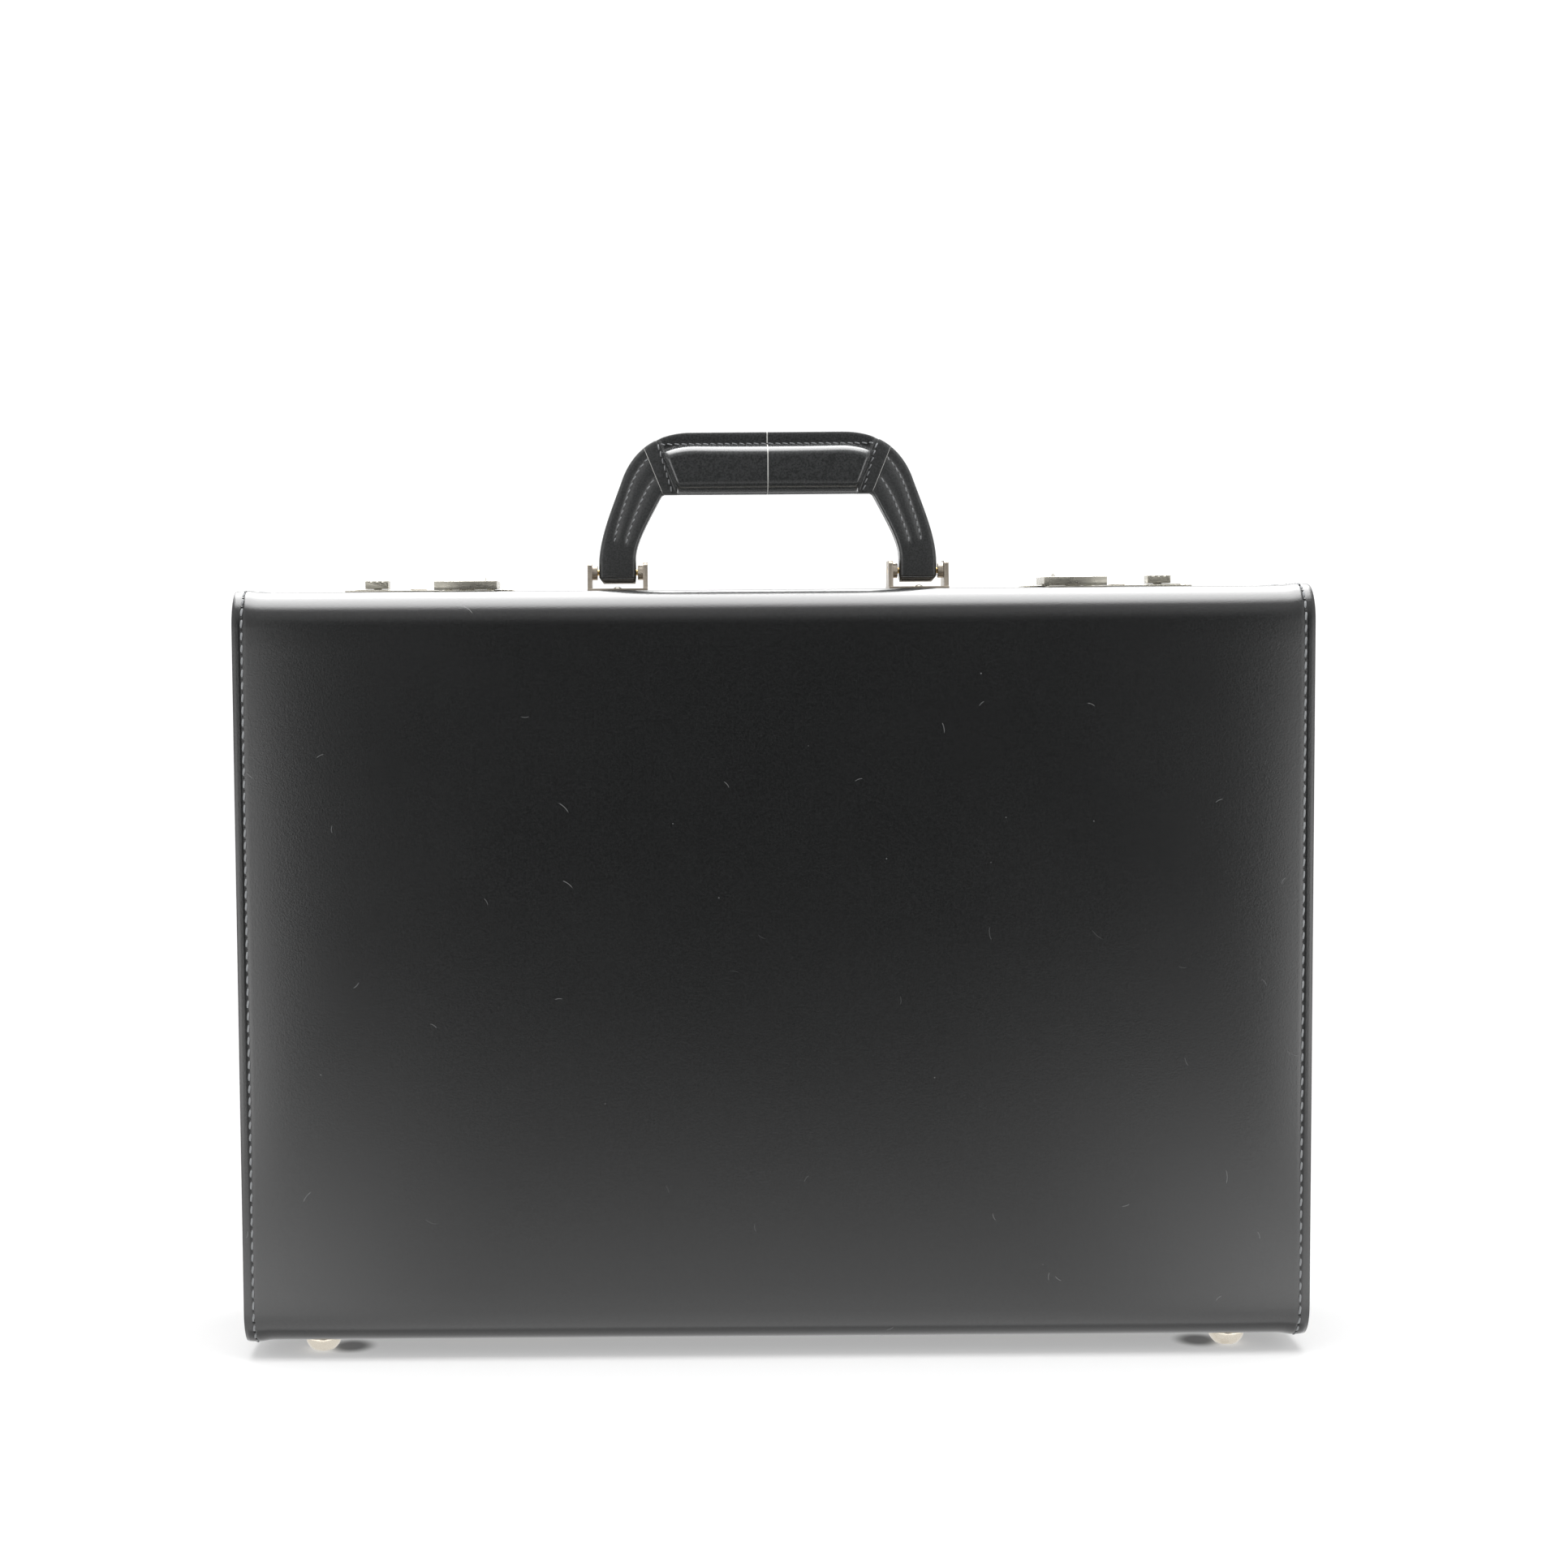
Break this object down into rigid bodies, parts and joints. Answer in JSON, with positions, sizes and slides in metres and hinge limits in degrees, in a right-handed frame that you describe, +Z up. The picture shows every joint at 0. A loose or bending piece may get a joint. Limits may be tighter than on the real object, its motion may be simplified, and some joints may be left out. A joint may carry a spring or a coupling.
{
  "type": "leather attache case",
  "caption": "Hard-sided leather attaché case that opens like a clam shell, with a padded top handle, slide-button locks with hasps, and studs to stand on.",
  "frame": {"origin": "on the floor under the middle of the standing case", "axes": "+Z up through the handle, +X along the width to the right of a person facing the lid, +Y from the lid to the base"},
  "size_m": [0.43, 0.09, 0.3759],
  "materials": {
    "leather": "smooth black box leather, satin, with fine grain and light scratches",
    "board": "raw plywood",
    "lining": "brown suede-like cloth",
    "pocket_leather": "brown leather, stitched",
    "nickel": "worn warm nickel plate with fine scratches",
    "steel": "plain steel",
    "rim_metal": "satin extrusion",
    "brass": "dull brass"
  },
  "bodies": {
    "base": {"base_leather_cover": "leather", "base_frame": "board", "base_lining": "lining", "base_rim": "rim_metal", "base_end_panel_left": "leather", "base_end_panel_right": "leather", "foot_back_left": "nickel", "foot_back_right": "nickel", "hinge_base_leaf_left": "nickel", "hinge_base_leaf_right": "nickel", "hinge_pin_left": "steel", "hinge_pin_right": "steel", "lock_plate_left": "nickel", "lock_plate_right": "nickel", "hasp_pin_left": "steel", "hasp_pin_right": "steel", "lock_case_left": "steel", "lock_case_right": "steel", "bolt_spring_left": "steel", "bolt_spring_right": "steel", "handle_bracket_left": "nickel", "handle_bracket_right": "nickel", "handle_pin_left": "brass", "handle_pin_right": "brass", "stay_base_bracket_left": "steel", "stay_base_bracket_right": "steel"},
    "lid": {"lid_leather_cover": "leather", "lid_frame": "board", "lid_lining": "lining", "lid_rim": "rim_metal", "document_pocket": "pocket_leather", "pen_loop_strip": "pocket_leather", "lid_end_panel_left": "leather", "lid_end_panel_right": "leather", "foot_front_left": "nickel", "foot_front_right": "nickel", "hinge_lid_leaf_left": "nickel", "hinge_lid_leaf_right": "nickel", "strike_plate_left": "nickel", "strike_plate_right": "nickel", "stay_lid_bracket_left": "steel", "stay_lid_bracket_right": "steel"},
    "handle": {"handle_core": "steel", "handle_grip": "leather", "handle_arm_left": "leather", "handle_arm_right": "leather"},
    "latch_left": {"hasp_left": "nickel"},
    "button_left": {"slide_button_left": "nickel", "lock_bolt_left": "brass"},
    "key_left": {"key_barrel_left": "brass"},
    "stay_lower_left": {"stay_lower_link_left": "steel", "stay_knee_rivet_left": "steel"},
    "stay_upper_left": {"stay_upper_link_left": "steel"},
    "latch_right": {"hasp_right": "nickel"},
    "button_right": {"slide_button_right": "nickel", "lock_bolt_right": "brass"},
    "key_right": {"key_barrel_right": "brass"},
    "stay_lower_right": {"stay_lower_link_right": "steel", "stay_knee_rivet_right": "steel"},
    "stay_upper_right": {"stay_upper_link_right": "steel"}
  },
  "joints": [
    {"name": "lid_open", "type": "hinge", "parent": "base", "child": "lid", "pos_m": [0, -0.005, 0.0037], "axis": [1, 0, 0], "range_deg": [0, 95]},
    {"name": "handle_swing", "type": "hinge", "parent": "base", "child": "handle", "pos_m": [0, 0.012, 0.318], "axis": [1, 0, 0], "range_deg": [-80, 80]},
    {"name": "hasp_left_lift", "type": "hinge", "parent": "base", "child": "latch_left", "pos_m": [-0.124, 0.006, 0.3132], "axis": [-1, 0, 0], "range_deg": [0, 95]},
    {"name": "button_left_slide", "type": "slide", "parent": "base", "child": "button_left", "axis": [-1, 0, 0], "range_m": [0, 0.005], "stiffness_N_per_m": 200, "deforming": ["bolt_spring_left"]},
    {"name": "key_left_turn", "type": "hinge", "parent": "base", "child": "key_left", "pos_m": [-0.146, 0.012, 0.31], "axis": [0, 0, -1], "range_deg": [0, 90]},
    {"name": "stay_lower_left_fold", "type": "hinge", "parent": "base", "child": "stay_lower_left", "pos_m": [-0.19775, 0.007, 0.07773], "axis": [1, 0, 0], "range_deg": [0, 95]},
    {"name": "stay_upper_left_fold", "type": "hinge", "parent": "lid", "child": "stay_upper_left", "pos_m": [-0.19575, -0.017, 0.07773], "axis": [1, 0, 0], "range_deg": [-95, 0]},
    {"name": "hasp_right_lift", "type": "hinge", "parent": "base", "child": "latch_right", "pos_m": [0.124, 0.006, 0.3132], "axis": [-1, 0, 0], "range_deg": [0, 95]},
    {"name": "button_right_slide", "type": "slide", "parent": "base", "child": "button_right", "axis": [1, 0, 0], "range_m": [0, 0.005], "stiffness_N_per_m": 200, "deforming": ["bolt_spring_right"]},
    {"name": "key_right_turn", "type": "hinge", "parent": "base", "child": "key_right", "pos_m": [0.146, 0.012, 0.31], "axis": [0, 0, 1], "range_deg": [0, 90]},
    {"name": "stay_lower_right_fold", "type": "hinge", "parent": "base", "child": "stay_lower_right", "pos_m": [0.19775, 0.007, 0.07773], "axis": [1, 0, 0], "range_deg": [0, 95]},
    {"name": "stay_upper_right_fold", "type": "hinge", "parent": "lid", "child": "stay_upper_right", "pos_m": [0.19575, -0.017, 0.07773], "axis": [1, 0, 0], "range_deg": [-95, 0]}
  ],
  "couplings": [
    {"joint": "stay_lower_left_fold", "follows": "lid_open", "ratio": 1},
    {"joint": "stay_upper_left_fold", "follows": "lid_open", "ratio": -1},
    {"joint": "stay_lower_right_fold", "follows": "lid_open", "ratio": 1},
    {"joint": "stay_upper_right_fold", "follows": "lid_open", "ratio": -1}
  ]
}
